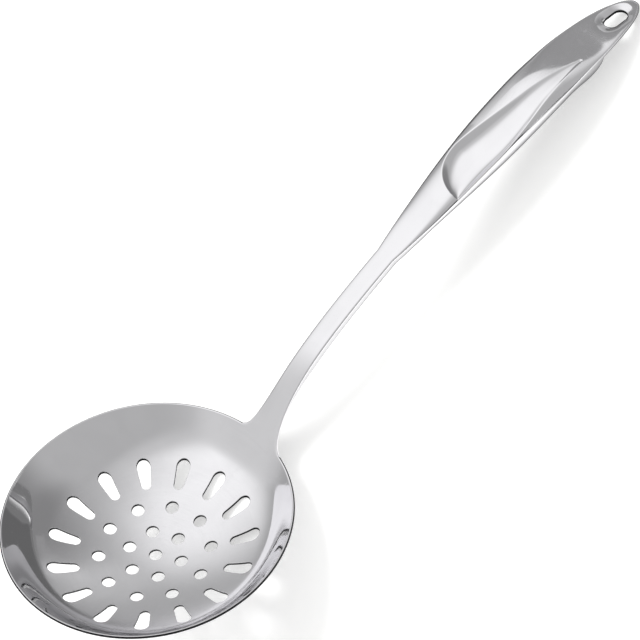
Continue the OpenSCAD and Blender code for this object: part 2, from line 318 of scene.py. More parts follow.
ROOT = np.array([RIM_R + SHEET_T / 2 * math.sin(RIM_A), -SHEET_T / 2 * math.cos(RIM_A)])
rows = [inside[:TURN_N]]
for a in np.linspace(math.asin((BAND_R - WALL_C[0]) / WALL_ARC), RIM_A, WALL_ROWS)[1:]:
    radius = WALL_C[0] + WALL_ARC * math.sin(a)
    shown = float(shown_slope(radius))
    rows.append(turned_row(radius, WALL_C[1] - WALL_ARC * math.cos(a),
                           -math.sin(shown), math.cos(shown)))
for k in range(1, BEAD_ROWS):
    a = RIM_A + math.pi / 2 - k * math.pi / BEAD_ROWS
    rows.append(turned_row(*(ROOT + SHEET_T / 2 * np.array([math.cos(a), math.sin(a)])),
                           math.cos(a), math.sin(a)))
back_arc = WALL_ARC + SHEET_T
for a in np.linspace(RIM_A, math.asin((BAND_R - WALL_C[0]) / back_arc), WALL_ROWS)[:-1]:
    rows.append(turned_row(WALL_C[0] + back_arc * math.sin(a), WALL_C[1] - back_arc * math.cos(a),
                           math.sin(a), -math.cos(a)))
rows.append(underside[:TURN_N])
# The bead's outer half gets the cut finish, whose near-black colour is painted shade.
rim_first = len(rows) - WALL_ROWS - DARK_ROWS      # the bead's outer half starts here
for k, (row, after) in enumerate(zip(rows, rows[1:])):
    painted_shade_rim_row = rim_first <= k < rim_first + DARK_ROWS
    bowl_skin.strip(row[::-1], after[::-1], is_painted_shade_cut=painted_shade_rim_row)
print("the bowl has", bowl_skin.count, "points")

# %% [markdown]
# ## The handle's curve
# The handle follows one curve in the spoon's middle plane. It leaves the rim in
# the wall's own direction, bends over quickly, runs nearly straight through the
# neck, and levels out towards the tip. Describing its slope, and adding the
# slope up in tiny steps, gives a curve with no kink anywhere. From here on,
# `s` counts millimetres along the curve, `u` to the side, and `v` away from it.

# %% The handle's slope, and its curve
WIDE_S = HANDLE_L - GRIP_WIDE_L
TAPER_S = WIDE_S + 4
TAB_S = HANDLE_L - BACK_END_L
HANG_S = HANDLE_L - HANG_C
RECESS_S = HANDLE_L - RECESS_END_L - RECESS_L
NECK_FRONT, TIP_FRONT = 0.32 * NECK_T, 0.35 * TIP_T
NECK_BACK, TIP_BACK = NECK_T - NECK_FRONT, TIP_T - TIP_FRONT
RIM_DEG = math.degrees(RIM_A)


def slope(s):
    """Slope in degrees at s: the wall's own, easing into the neck's, the grip's and the tip's."""
    return (RIM_DEG + (NECK_DEG - RIM_DEG) * (1 - np.exp(-np.maximum(0, s) / BEND_L))
            + (GRIP_DEG - NECK_DEG) * ease((s - NECK_L - 9) / 74)
            + (TIP_DEG - GRIP_DEG) * ease((s - WIDE_S + 6) / 86))


TINY = 0.05
fine = np.arange(0, HANDLE_L + 1, TINY)
turns = np.radians(slope(fine[:-1] + TINY / 2))
curve_x = ROOT[0] + np.concatenate([[0], np.cumsum(TINY * np.cos(turns))])
curve_z = ROOT[1] + np.concatenate([[0], np.cumsum(TINY * np.sin(turns))])


def spine(s):
    """Point on the handle's curve."""
    x, z = np.interp(s, fine, curve_x), np.interp(s, fine, curve_z)
    before = np.minimum(s, 0)
    return x + before * math.cos(RIM_A), z + before * math.sin(RIM_A)


print("the tip lies", round(float(spine(HANDLE_L)[0]), 1), "mm from the bowl's middle")

# %% [markdown]
# ## The handle's section
# Seen from above, the handle is wide at the rim, slim in the neck and wide again
# in the grip. Seen from the side, its front and its back stand off the curve by
# heights of their own. One more number says how square the section is: the grip
# is nearly an ellipse, and the neck and the tip are slabs with round sides.

# %% Width, heights and squareness at any place
END_R = 1.2                      # how softly the very end of the tip is rounded
END_LEAST = 0.0004               # keeps the last ring from shrinking to a point


def end_round(s):
    """1 along the handle, falling on a quarter circle over the last END_R mm."""
    return np.sqrt(np.maximum(END_LEAST, 1 - (np.maximum(0, s - HANDLE_L + END_R) / END_R) ** 2))


def half_width(s):
    """Half the width: wide at the rim, slim in the neck, swelling into the grip."""
    q = np.maximum(0, s)
    swell = np.sin(math.pi / 2 * np.clip((q - NECK_L) / (WIDE_S - NECK_L), 0, 1)) ** 0.9
    taper = np.sqrt(np.maximum(0, 1 - (np.maximum(0, q - TAPER_S) / (HANDLE_L - TAPER_S)) ** 2.3))
    root = 0.62 * np.exp(-q / 10) + 0.38 * np.exp(-q / 1.5)
    return (NECK_W / 2 + (ROOT_W - NECK_W) / 2 * root + (GRIP_W - NECK_W) / 2 * swell) * taper


def front_height(s):
    """How far the front stands above the curve, in the middle."""
    start = SHEET_T * 0.51
    return (start + (NECK_FRONT - start) * ease((s - 5) / 40)
            + (GRIP_FRONT - NECK_FRONT) * ease((s - NECK_L) / 68)
            - (GRIP_FRONT - TIP_FRONT) * ease((s - WIDE_S) / 38)) * end_round(s)


def back_end(s):
    """1 along the grip, falling to 0 where its deep back ends in a blunt nose."""
    return np.sqrt(np.maximum(0, 1 - np.clip((s - TAB_S + 12) / 12, 0, 1) ** 2.4))


def back_height(s):
    """How far the back lies below the curve, in the middle."""
    start = SHEET_T * 0.45
    return (start + (NECK_BACK - start) * ease((s - 5) / 40)
            + (GRIP_BACK - NECK_BACK) * ease((s - NECK_L) / 68)
            - (GRIP_BACK - TIP_BACK) * (1 - back_end(s))) * end_round(s)


def squareness(s):
    """2 makes an elliptical section, more a slab with round sides, as in the neck and tip."""
    neck = ease((s - 14) / 16) * (1 - ease((s - NECK_L + 6) / 30))
    return (6 - 3.4 * ease(s / 30) - 0.3 * ease((s - NECK_L) / 40)
            + 2.4 * ease((s - TAB_S + 20) / 24) + 2.4 * neck)


print("at its widest the grip is", round(float(2 * half_width(WIDE_S)), 1), "mm wide")

# %% [markdown]
# ## The thumb recess and the hanging hole
# The recess is scooped out of the side of the grip that the thumb presses. Its
# outline is a leaf: round where the neck begins, pointed towards the tip. We
# lower the front surface between its two edges, and take the lower of the two
# surfaces with a slightly rounded corner, as a polishing wheel leaves it.
# The tip is pressed down around the hanging hole, so the hole has a soft lip.

# %% Height of the handle's front at any place
ROUND_PART = 0.22                # share of the recess in which its round start opens
CORNER_SOFT, LIP_SOFT = 0.9, 0.4     # how softly the recess's corner and the lip are rounded


def soft_min(a, b, k):
    """The lower of two values, rounded over a distance k where they cross."""
    near = np.maximum(k - np.abs(a - b), 0) / k
    return np.minimum(a, b) - near * near * k / 4


def recess_run(s):
    """0 where the recess starts, 1 at its point."""
    return (s - RECESS_S) / RECESS_L


def recess_start(s):
    """Grows from 0 to 1 along a quarter circle."""
    return np.sqrt(np.maximum(0, 1 - (1 - np.clip(recess_run(s) / ROUND_PART, 0, 1)) ** 2))


def recess_fade(s):
    """Falls from 1 to 0 towards the leaf's point."""
    return 1 - np.clip((recess_run(s) - ROUND_PART) / (1 - ROUND_PART), 0, 1) ** 1.15


def recess_span(s):
    """Width of the leaf."""
    return RECESS_W * recess_start(s) * recess_fade(s)


def recess_edge(s):
    """How far to the side the leaf's lower edge runs."""
    return -half_width(s) * (0.95 - 0.4 * ease((recess_run(s) - 0.3) / 0.8))


def body_front(s, u):
    """Height of the front before anything is scooped out."""
    n = squareness(s)
    return front_height(s) * np.maximum(0, 1 - (np.abs(u) / half_width(s)) ** n) ** (1 / n)


def recess_front(s, u):
    """Surface of the recess, stretched between its two edges and sunk between them."""
    w = np.maximum(0.3, recess_span(s))
    e = recess_edge(s)
    x = (u - e) / w
    low, high = body_front(s, e), body_front(s, e + w)
    depth = RECESS_H * recess_start(s) ** 0.8 * recess_fade(s) ** 1.3
    return low + (high - low) * x - depth * (1 - (2 * x - 1) ** 4)


HANG_CORE = (HANG_L - HANG_W) / 2


def hole_distance(s, u):
    """Distance from the hanging hole's middle line, shorter towards the grip."""
    past = np.maximum(0, np.abs(s - HANG_S) - HANG_CORE)
    return np.hypot(past * np.where(s < HANG_S, 0.86, 1), u)


def front_at(s, u):
    """Height of the finished front."""
    body = body_front(s, u)
    inside_recess = (recess_run(s) > 0) & (recess_run(s) < 1)
    scooped = np.where(inside_recess, soft_min(body, recess_front(s, u), CORNER_SOFT), body)
    lip = np.maximum(0, (hole_distance(s, u) - HANG_W / 2) / DISH_W)
    return scooped - DISH_H * (1 - soft_min(1, lip, LIP_SOFT))


middle_of_recess = RECESS_S + RECESS_L / 2
print("halfway along, the recess is", round(float(recess_span(middle_of_recess)), 1), "mm wide")

# %% [markdown]
# ## Lofting the handle
# A loft joins many cross-sections into one skin. Each section here is a closed
# ring of points: across the front, round the side, and back underneath. Where
# the hanging hole is, the ring opens in the middle, and the two open edges are
# joined by the hole's wall. The steps are a third of a millimetre where the
# shape changes fast.

# %% Where the rings stand
def between(a, b, step):
    """Even places from a up to, but not at, b, at most `step` apart."""
    return list(np.linspace(a, b, max(2, int(math.ceil((b - a) / step)) + 1))[:-1])


hole_steps = HANG_S + np.concatenate([
    -HANG_CORE - HANG_W / 2 * np.cos(np.linspace(0, math.pi / 2, 15)[:-1]),
    np.linspace(-HANG_CORE, HANG_CORE, 12),
    HANG_CORE + HANG_W / 2 * np.sin(np.linspace(0, math.pi / 2, 15)[1:])])
stations = np.array(
    between(-2.5, 8, 0.35)
    + between(8, RECESS_S - 2, 0.9)
    + between(RECESS_S - 2, RECESS_S + 14, 0.3)
    + between(RECESS_S + 14, RECESS_S + RECESS_L + 2, 0.5)
    + between(RECESS_S + RECESS_L + 2, HANG_S - 9, 0.6)
    + between(HANG_S - 9, hole_steps[0], 0.3)
    + list(hole_steps)
    + between(hole_steps[-1] + 0.2, HANDLE_L - END_R, 0.3)
    + [HANDLE_L - END_R + END_R * math.sin(k * math.pi / 20) for k in range(0, 10)])
print("the first ring stands at", stations[0], "mm and the last at", round(float(stations[-1]), 1))

# %% [markdown]
# ## One ring
# A ring's points crowd together at the sides, where the surface turns fastest.
# Near the bowl a straight ring would poke through the curved wall. So there
# every ring is bent to follow the wall, and this bend fades away up the neck.
# Beside its place, each point remembers two things for the finish: the
# direction of the wheel's lines, `grain`, and how satin it is, `satin`.

# %% The rings of the handle
SIDE_N, BACK_N = 48, 26      # points on half of the front, and on half of the back
BEND_FADE = 26               # mm of neck over which the rings follow the bowl's wall
ROOT_SATIN, GRIP_SATIN = 23, 130     # mm along, where the root's satin ends and the grip's starts


def quarter(n):
    """Positions from the side (1) to the middle (0), close together at the side."""
    return np.cos(np.linspace(0, math.pi / 2, n))


def handle_ring(s):
    """Points round the handle at s, as position along the curve's normal and sideways."""
    a, b, n = half_width(s), back_height(s), squareness(s)
    far = abs(s - HANG_S) - HANG_CORE
    gap = math.sqrt(max(0, (HANG_W / 2) ** 2 - max(0, far) ** 2))
    across = np.abs(quarter(SIDE_N)) ** (2 / n)
    under = np.abs(quarter(BACK_N)) ** (2 / n)
    u_front, u_back = gap + (a - gap) * across, gap + (a - gap) * under
    u = np.concatenate([u_front, -u_front[::-1], -u_back[1:], u_back[::-1][:-1]])
    lift = np.concatenate([front_at(s, u[:2 * SIDE_N]),
                           -b * np.maximum(0, 1 - np.abs(u[2 * SIDE_N:] / a) ** n) ** (1 / n)])
    return u, lift, gap


def handle_points(s, u, v):
    """Those points in the bowl's frame. Near the rim the ring bends round with the wall."""
    x, z = spine(s)
    turn = math.radians(slope(s))
    x, z = x - v * math.sin(turn), z + v * math.cos(turn)
    bend = 1 - ease(s / BEND_FADE)
    return np.stack([x + bend * (np.sqrt(np.maximum(1, x * x - u * u)) - x), u, z], 1)


def in_recess(s, u):
    """1 inside the thumb recess, 0 outside it."""
    past = u - recess_edge(s)
    return (recess_span(s) > 0.5) * ease(past / 0.8) * ease((recess_span(s) - past) / 0.8)


rings, gaps, grain, satin = [], [], [], []
for s in stations:
    u, v, gap = handle_ring(s)
    rings.append(handle_points(s, u, v))
    gaps.append(gap > 1e-6)
    grain.append(np.column_stack([u + v, np.full(len(u), s), v]))
    on_front = (np.arange(len(u)) < 2 * SIDE_N) * 1.0
    at_grip = 0.45 * ease((s - GRIP_SATIN) / 40) * on_front * (1 - in_recess(s, u))
    satin.append(np.maximum(1 - ease((s - ROOT_SATIN) / 6), at_grip))
handle_grain, handle_satin = np.concatenate(grain), np.concatenate(satin)
ring_n = len(rings[0])
handle_xyz = np.concatenate(rings)
print(len(stations), "rings of", ring_n, "points")

# %% [markdown]
# ## Skin between the rings
# Four-sided faces join each ring to the next. The two halves of the front meet
# in the middle, and so do those of the back. Where the hanging hole is, they
# part instead, and faces from the front's edge to the back's edge make the
# hole's wall. Everywhere else the points in the middle lie on each other, and
# merging them later closes the skin.

# %% Faces between the rings, and round the hanging hole
def quad(k, i, j):
    """The face between places i and j on ring k and on the next ring."""
    return [k * ring_n + i, (k + 1) * ring_n + i, (k + 1) * ring_n + j, k * ring_n + j]


front_right, front_left = SIDE_N - 1, SIDE_N
back_left, back_right = 2 * SIDE_N - 1 + BACK_N - 1, 2 * SIDE_N + BACK_N - 1
handle_faces, handle_painted_shade_cut = [], []
for k in range(len(rings) - 1):
    handle_faces += [quad(k, i, (i + 1) % ring_n) for i in range(ring_n)
                     if i not in (front_right, back_left)]
    # The hanging hole's wall gets the cut finish, whose near-black colour is painted shade.
    if gaps[k] or gaps[k + 1]:
        for a, b in ((front_right, back_right), (back_left, front_left)):
            handle_painted_shade_cut.append(len(handle_faces))
            handle_faces.append(quad(k, a, b))
for k, flip in ((0, False), (len(rings) - 1, True)):
    cap = [k * ring_n + i for i in range(ring_n)]
    handle_faces.append(cap[::-1] if flip else cap)
print("the handle has", len(handle_faces), "faces")

# %% [markdown]
# ## Laying the spoon down
# The bowl and the handle were built around the bowl's middle. On a table the
# spoon tips over until the tip of its handle touches. We search for the angle
# at which the bowl's underside and the tip are equally low, turn every point by
# it, and then centre the spoon over the origin.

# %% Finding the resting angle
bowl_xyz = np.concatenate(bowl_skin.points)


def turned(points, deg):
    """Points turned about the sideways axis."""
    c, s = math.cos(math.radians(deg)), math.sin(math.radians(deg))
    return np.stack([points[:, 0] * c + points[:, 2] * s, points[:, 1],
                     points[:, 2] * c - points[:, 0] * s], 1)


low, high = 10.0, 50.0
for _ in range(30):
    rest = (low + high) / 2
    if turned(handle_xyz[-60 * ring_n:], rest)[:, 2].min() > turned(bowl_xyz, rest)[:, 2].min():
        low = rest
    else:
        high = rest
bowl_rest, handle_rest = turned(bowl_xyz, rest), turned(handle_xyz, rest)
everything = np.concatenate([bowl_rest, handle_rest])
shift = np.array([-(everything[:, 0].min() + everything[:, 0].max()) / 2,
                  0, -everything[:, 2].min()])
print("it rests at", round(rest, 3), "degrees, shifted by", shift.round(2).tolist())

# %% [markdown]
# ## What the polishing wheel leaves
# Steel is never one even mirror. The wheel leaves fine lines where it ran, use
# adds short scratches, and hands leave faint marks. Each effect is a shader
# node group with its own inputs, so both finishes of the spoon share them.

# %% Helpers that make node groups and nodes
def new_group(name, inputs, output):
    """An empty node group with named number inputs, a vector input and one output."""
    group = bpy.data.node_groups.new(name, "ShaderNodeTree")
    vector = group.interface.new_socket("Place", in_out="INPUT", socket_type="NodeSocketVector")
    vector.default_value = (0, 0, 0)
    for label, value in inputs.items():
        number = group.interface.new_socket(label, in_out="INPUT", socket_type="NodeSocketFloat")
        number.default_value = value
    group.interface.new_socket(output, in_out="OUTPUT", socket_type="NodeSocketFloat")
    return group, group.nodes.new("NodeGroupInput"), group.nodes.new("NodeGroupOutput")


def node(tree, kind, **settings):
    """A node with its settings; one that names a socket sets that socket, or links to it."""
    made = tree.nodes.new(kind)
    for key, value in settings.items():
        if hasattr(made, key):
            setattr(made, key, value)
        elif isinstance(value, bpy.types.NodeSocket):
            tree.links.new(value, made.inputs[key.replace("_", " ")])
        else:
            made.inputs[key.replace("_", " ")].default_value = value
    return made


def maths(tree, kind, *terms):
    """A Math node fed by numbers or other nodes' outputs; gives back its output."""
    made = node(tree, "ShaderNodeMath", operation=kind)
    for socket, term in zip(made.inputs, terms):
        if isinstance(term, (int, float)):
            socket.default_value = term
        else:
            tree.links.new(term, socket)
    return made.outputs[0]


# %% [markdown]
# ## Wheel lines
# A polishing wheel runs round the bowl and along the handle. Its lines are long
# in that direction and very thin across it. A noise texture that is squeezed in
# one direction gives just that. Its place comes from a mesh attribute, `grain`,
# whose first number runs across the lines, so one group serves both parts.

# %% The group of wheel lines
wheel_lines, start, end = new_group(
    "wheel_lines", {"Fineness": 5000.0, "Stretch": 0.012}, "Lines")
fineness = start.outputs["Fineness"]
long_way = maths(wheel_lines, "MULTIPLY", fineness, start.outputs["Stretch"])
squeeze = node(wheel_lines, "ShaderNodeCombineXYZ", X=fineness, Y=long_way, Z=long_way)
stretched = node(wheel_lines, "ShaderNodeVectorMath", operation="MULTIPLY",
                 Vector=start.outputs["Place"])
wheel_lines.links.new(squeeze.outputs[0], stretched.inputs[1])
noise = node(wheel_lines, "ShaderNodeTexNoise", Vector=stretched.outputs[0],
             Scale=1.0, Detail=4.0, Roughness=0.65)
contrast = node(wheel_lines, "ShaderNodeMapRange", Value=noise.outputs["Fac"],
                From_Min=0.3, From_Max=0.7)
wheel_lines.links.new(contrast.outputs["Result"], end.inputs["Lines"])

# %% [markdown]
# ## Scratches
# Scratches are thin lines in a few odd directions, broken up into short pieces.
# They are the narrow band where a stretched noise passes its middle value.

# %% The group of fine scratches
fine_scratches, start, end = new_group(
    "fine_scratches", {"Density": 260.0, "Width": 0.012}, "Scratches")
total = None
for turn in (0.4, 1.5, 2.5):
    swing = node(fine_scratches, "ShaderNodeVectorRotate", rotation_type="AXIS_ANGLE",
                 Axis=(0.3, 0.2, 1.0), Angle=turn, Vector=start.outputs["Place"])
    squash = node(fine_scratches, "ShaderNodeVectorMath", operation="MULTIPLY",
                  Vector=swing.outputs[0])
    squash.inputs[1].default_value = (1.0, 0.07, 1.0)
    noise = node(fine_scratches, "ShaderNodeTexNoise", Detail=1.0,
                 Vector=squash.outputs[0], Scale=start.outputs["Density"])
    off_middle = maths(fine_scratches, "SUBTRACT", noise.outputs["Fac"], 0.5)
    off_middle = maths(fine_scratches, "ABSOLUTE", off_middle)
    line = maths(fine_scratches, "LESS_THAN", off_middle, start.outputs["Width"])
    total = line if total is None else maths(fine_scratches, "MAXIMUM", total, line)
patches = node(fine_scratches, "ShaderNodeTexNoise", Vector=start.outputs["Place"],
               Scale=420.0, Detail=1.0)
broken = maths(fine_scratches, "GREATER_THAN", patches.outputs["Fac"], 0.56)
fine_scratches.links.new(maths(fine_scratches, "MULTIPLY", total, broken), end.inputs["Scratches"])

# %% [markdown]
# ## Hand marks
# Hands leave marks that are barely there: soft clouds, one to two centimetres
# across. A low, smooth noise is enough, with its middle values stretched.

# %% The group of hand marks
hand_marks, start, end = new_group("hand_marks", {"Size": 70.0}, "Marks")
noise = node(hand_marks, "ShaderNodeTexNoise", Detail=2.5, Distortion=0.6,
             Vector=start.outputs["Place"], Scale=start.outputs["Size"])
cloud = node(hand_marks, "ShaderNodeMapRange", interpolation_type="SMOOTHSTEP",
             Value=noise.outputs["Fac"], From_Min=0.4, From_Max=0.68)
hand_marks.links.new(cloud.outputs["Result"], end.inputs["Marks"])
print("node groups:", [group.name for group in bpy.data.node_groups])

# %% [markdown]
# ## The two finishes
# The spoon's skin is polished steel. The bowl's floor and the root of the neck
# are left satin, the front of the grip is half satin, and the rest is buffed to
# a mirror. A second mesh attribute, `satin`, says how satin each point is, so
# the finish changes without a seam. The walls of the punched openings are never
# reached by the wheel, so they stay rough. Their near-black colour is painted
# shade, which draws the dark line inside every slot and hole.

# %% Helpers for the materials
def place_group(tree, group, place, **values):
    """Puts a node group in a material, fed with a place; gives back its output."""
    return node(tree, "ShaderNodeGroup", node_tree=group, Place=place, **values).outputs[0]


def new_material(name, **numbers):
    """A material with numbers set on its shader; gives it, its node tree and its shader."""
    material = bpy.data.materials.new(name)
    material.use_nodes = True
    shader = material.node_tree.nodes["Principled BSDF"]
    for label, value in numbers.items():
        shader.inputs[label.replace("_", " ")].default_value = value
    return material, material.node_tree, shader


def tint(tree, shader, plain, marked, mask):
    """Mixes two colours by a mask and feeds them to the shader's Base Color."""
    mix = node(tree, "ShaderNodeMix", data_type="RGBA", A=plain, B=marked, Factor=mask)
    tree.links.new(mix.outputs["Result"], shader.inputs["Base Color"])


# %% Polished steel, satin in places
MIRROR_ROUGH, SATIN_ROUGH = 0.025, 0.15
STEEL, MARKED_STEEL = (0.87, 0.865, 0.885, 1), (0.80, 0.795, 0.815, 1)
polished, tree, shader = new_material("polished_steel", Metallic=1.0)
grain_place = node(tree, "ShaderNodeAttribute", attribute_name="grain").outputs["Vector"]
object_place = node(tree, "ShaderNodeTexCoord").outputs["Object"]
lines = place_group(tree, wheel_lines, grain_place)
scratches = place_group(tree, fine_scratches, object_place)
marks = place_group(tree, hand_marks, object_place)
satin_here = node(tree, "ShaderNodeAttribute", attribute_name="satin").outputs["Fac"]
rough = maths(tree, "MULTIPLY_ADD", satin_here, SATIN_ROUGH - MIRROR_ROUGH, MIRROR_ROUGH)
line_rough = maths(tree, "MULTIPLY", lines, maths(tree, "MULTIPLY", satin_here, 0.06))
rough = maths(tree, "ADD", rough, line_rough)
rough = maths(tree, "MULTIPLY_ADD", marks, 0.02, rough)
rough = maths(tree, "MULTIPLY_ADD", scratches, 0.05, rough)
tree.links.new(rough, shader.inputs["Roughness"])
line_tint = maths(tree, "MULTIPLY", satin_here, 0.6)
faint_marks = maths(tree, "MULTIPLY", marks, 0.35)
tint(tree, shader, STEEL, MARKED_STEEL, maths(tree, "MULTIPLY_ADD", lines, line_tint, faint_marks))
line_height = maths(tree, "MULTIPLY", lines, maths(tree, "MULTIPLY_ADD", satin_here, 0.9, 0.1))
height = maths(tree, "ADD", line_height, maths(tree, "MULTIPLY", scratches, -0.35))
bump = node(tree, "ShaderNodeBump", Strength=0.12, Distance=0.00001, Height=height)
tree.links.new(bump.outputs["Normal"], shader.inputs["Normal"])

# %% [markdown]
# ## Cut steel, with painted shade
# A punch shears the sheet and leaves a coarse, torn wall. It uses the same two
# groups as the polished skin, with broader lines and more scratches. Its
# near-black colour is painted shade: it draws the dark line inside the openings
# and round the rim.

# %% Cut steel, darkened with painted shade, in the walls of the openings
# Both colours are near black, which is painted shade. The second, a little lighter, follows the
# punch marks.
CUT_STEEL_PAINTED_SHADE, WORN_CUT_STEEL_PAINTED_SHADE = (0.022, 0.022, 0.024, 1), (0.06, 0.06, 0.063, 1)
cut, tree, shader = new_material("cut_steel_painted_shade", Metallic=1.0)
object_place = node(tree, "ShaderNodeTexCoord").outputs["Object"]
punch_marks = place_group(tree, wheel_lines, object_place, Fineness=2600.0, Stretch=0.2)
scuffs = place_group(tree, fine_scratches, object_place, Density=900.0, Width=0.03)
tint(tree, shader, CUT_STEEL_PAINTED_SHADE, WORN_CUT_STEEL_PAINTED_SHADE, punch_marks)
rough = maths(tree, "MULTIPLY_ADD", punch_marks, 0.2, 0.35)
rough = maths(tree, "MULTIPLY_ADD", scuffs, 0.15, rough)
tree.links.new(rough, shader.inputs["Roughness"])
print("materials:", [material.name for material in bpy.data.materials])

# %% [markdown]
# ## Making the two pieces
# The points turn into two mesh objects that ride on the spoon's only body. The
# attributes for the finish are stored with the points. The handle's open middle
# is merged shut. The bowl gets the exact normals worked out before.

# %% Where the bowl is satin, and where its lines run
FLOOR_SATIN, ROOT_ROUND = 0.71, 13      # the floor's share, and mm round the neck's root
bowl_plan_r = np.hypot(bowl_xyz[:, 0], bowl_xyz[:, 1])
bowl_way = bowl_xyz[:, :2] / np.maximum(bowl_plan_r, 1e-6)[:, None]
bowl_grain = np.column_stack([bowl_plan_r, 20 * bowl_way])
to_root = np.hypot(bowl_xyz[:, 0] - RIM_R, bowl_xyz[:, 1])
bowl_satin = np.maximum(1 - ease((bowl_plan_r / RIM_R - FLOOR_SATIN) / 0.13),
                        1 - ease((to_root - ROOT_ROUND) / 9))
print("satin points in the bowl:", int((bowl_satin > 0.5).sum()), "of", len(bowl_satin))

# %% The two pieces
def add_to_scene(name, data):
    """An object in the scene, from a mesh, a lamp or a camera."""
    thing = bpy.data.objects.new(name, data)
    bpy.context.scene.collection.objects.link(thing)
    return thing


def new_object(name, points, faces):
    """A mesh object in the scene, from points in metres."""
    mesh = bpy.data.meshes.new(name)
    mesh.from_pydata(np.asarray(points).tolist(), [], faces)
    return add_to_scene(name, mesh)


def store(mesh, name, values):
    """Stores one number, or three, on every point of a mesh."""
    kind, key = ("FLOAT_VECTOR", "vector") if np.ndim(values) == 2 else ("FLOAT", "value")
    mesh.attributes.new(name, kind, "POINT").data.foreach_set(key, np.ravel(values))


def make_piece(name, points, faces, painted_shade_cut_faces, grain, satin, merge):
    """A smooth piece of the spoon from points in millimetres, with its attributes."""
    piece = new_object(name, (points + shift) / 1000, faces)
    mesh = piece.data
    store(mesh, "grain", grain / 1000)
    store(mesh, "satin", satin)
    mesh.materials.append(polished)
    mesh.materials.append(cut)
    # The second material, for the cut faces, is near black with painted shade.
    is_painted_shade_cut = np.zeros(len(faces), int)
    is_painted_shade_cut[painted_shade_cut_faces] = 1
    mesh.polygons.foreach_set("material_index", is_painted_shade_cut)
    if merge:
        work = bmesh.new()
        work.from_mesh(mesh)
        bmesh.ops.remove_doubles(work, verts=work.verts, dist=2e-7)
        bmesh.ops.recalc_face_normals(work, faces=work.faces)
        work.to_mesh(mesh)
        work.free()
    mesh.polygons.foreach_set("use_smooth", [True] * len(mesh.polygons))
    mesh.update()
    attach(piece, "root")
    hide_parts("slotted_spoon")
    return piece


bowl = make_piece("spoon_bowl", bowl_rest, bowl_skin.faces, bowl_skin.cut,
                  bowl_grain, bowl_satin, False)
bowl_normals = turned(np.concatenate(bowl_skin.normals), rest)
bowl.data.normals_split_custom_set_from_vertices(bowl_normals.tolist())
handle = make_piece("spoon_handle", handle_rest, handle_faces, handle_painted_shade_cut,
                    handle_grain, handle_satin, True)
print("bowl", len(bowl.data.polygons), "faces, handle", len(handle.data.polygons))

# %% [markdown]
# ## No seam at the neck's root
# The neck grows out of the wall, so a reflection has to run from one into the
# other without a break. The wall's inside shows a slope of its own, as said
# above. So we lean the normals on the front of the neck's root to that slope,
# and let them go back to the true ones as the neck bends over.

# %% Leaning the normals of the neck's root
def per_point(data, key):
    """Three numbers for every point, read into one table."""
    values = np.zeros(len(data) * 3)
    data.foreach_get(key, values)
    return values.reshape(-1, 3)


SLOPE_SOFT = 6                   # degrees over which the two slopes blend
mesh = handle.data
place = per_point(mesh.vertices, "co") * 1000 - shift
facing = per_point(mesh.vertices, "normal")
along = per_point(mesh.attributes["grain"].data, "vector")[:, 1] * 1000
place, facing = turned(place, -rest), turned(facing, -rest)
way = place[:, :2] / np.hypot(place[:, 0], place[:, 1])[:, None]
true_slope = slope(along)
wanted = soft_min(true_slope, math.degrees(SHOWN_RIM), SLOPE_SOFT)
tilt = np.radians(true_slope)
outward = (facing[:, :2] * way).sum(1)
on_front = ease((facing[:, 2] * np.cos(tilt) - outward * np.sin(tilt)) / 0.5)
lean = np.radians(true_slope - wanted) * on_front
new_out = outward * np.cos(lean) + facing[:, 2] * np.sin(lean)
new_up = facing[:, 2] * np.cos(lean) - outward * np.sin(lean)
facing[:, :2] += way * (new_out - outward)[:, None]
facing[:, 2] = new_up
mesh.normals_split_custom_set_from_vertices(turned(facing, rest).tolist())
print("leant", int((lean > 0.001).sum()), "normals at the neck's root")

# %% [markdown]
# ## White paper under the spoon
# The photo's ground is plain white paper. Here it is a round sheet just under
# the spoon. Part of its brightness is a glow of its own, which only the camera
# and the steel see, so the paper is white in the picture and in reflections.
# The rest comes from the lamps, and so the spoon still casts a soft shadow.

# %% The floor
FLOOR_SIZE, FLOOR_GLOW = 0.3, 0.46
PAPER, BLACK, WHITE = (0.8, 0.8, 0.79, 1), (0, 0, 0, 1), (1, 1, 1, 1)
around = np.linspace(0, math.tau, 97)[:-1]
circle_points = [(FLOOR_SIZE * math.cos(a), FLOOR_SIZE * math.sin(a), 0) for a in around]
floor = new_object("floor", circle_points, [list(range(96))])
floor.location.z = -0.0002
paper, tree, shader = new_material("white_paper", Base_Color=PAPER, Specular_IOR_Level=0,
                                   Emission_Color=(FLOOR_GLOW, FLOOR_GLOW, FLOOR_GLOW, 1))
rays = tree.nodes.new("ShaderNodeLightPath")
seen = maths(tree, "MAXIMUM", rays.outputs["Is Camera Ray"], rays.outputs["Is Glossy Ray"])
tree.links.new(seen, shader.inputs["Emission Strength"])
floor.data.materials.append(paper)
print("the paper is", 2 * FLOOR_SIZE, "m wide")

# %% [markdown]
# ## Cards that only the steel sees
# A mirror on white paper would be white all over. Photographers stand grey and
# black cards around polished metal, out of the picture, to draw its form. We
# do the same with flat meshes that only reflections can see. Every point of a
# card carries its own brightness, `level`, and how much of the card is there,
# `cover`, as mesh attributes. That way a card can fade out without an edge.

# %% Helpers for cards and directions
def direction(azimuth, elevation):
    """The way towards a place in the room, from its two angles in degrees."""
    a, e = math.radians(azimuth), math.radians(elevation)
    return (math.cos(a) * math.cos(e), math.sin(a) * math.cos(e), math.sin(e))


card_paper, tree, shader = new_material("card_paper", Base_Color=BLACK, Specular_IOR_Level=0,
                                        Emission_Color=WHITE)
for attribute, socket in (("level", "Emission Strength"), ("cover", "Alpha")):
    stored = node(tree, "ShaderNodeAttribute", attribute_name=attribute)
    tree.links.new(stored.outputs["Fac"], shader.inputs[socket])


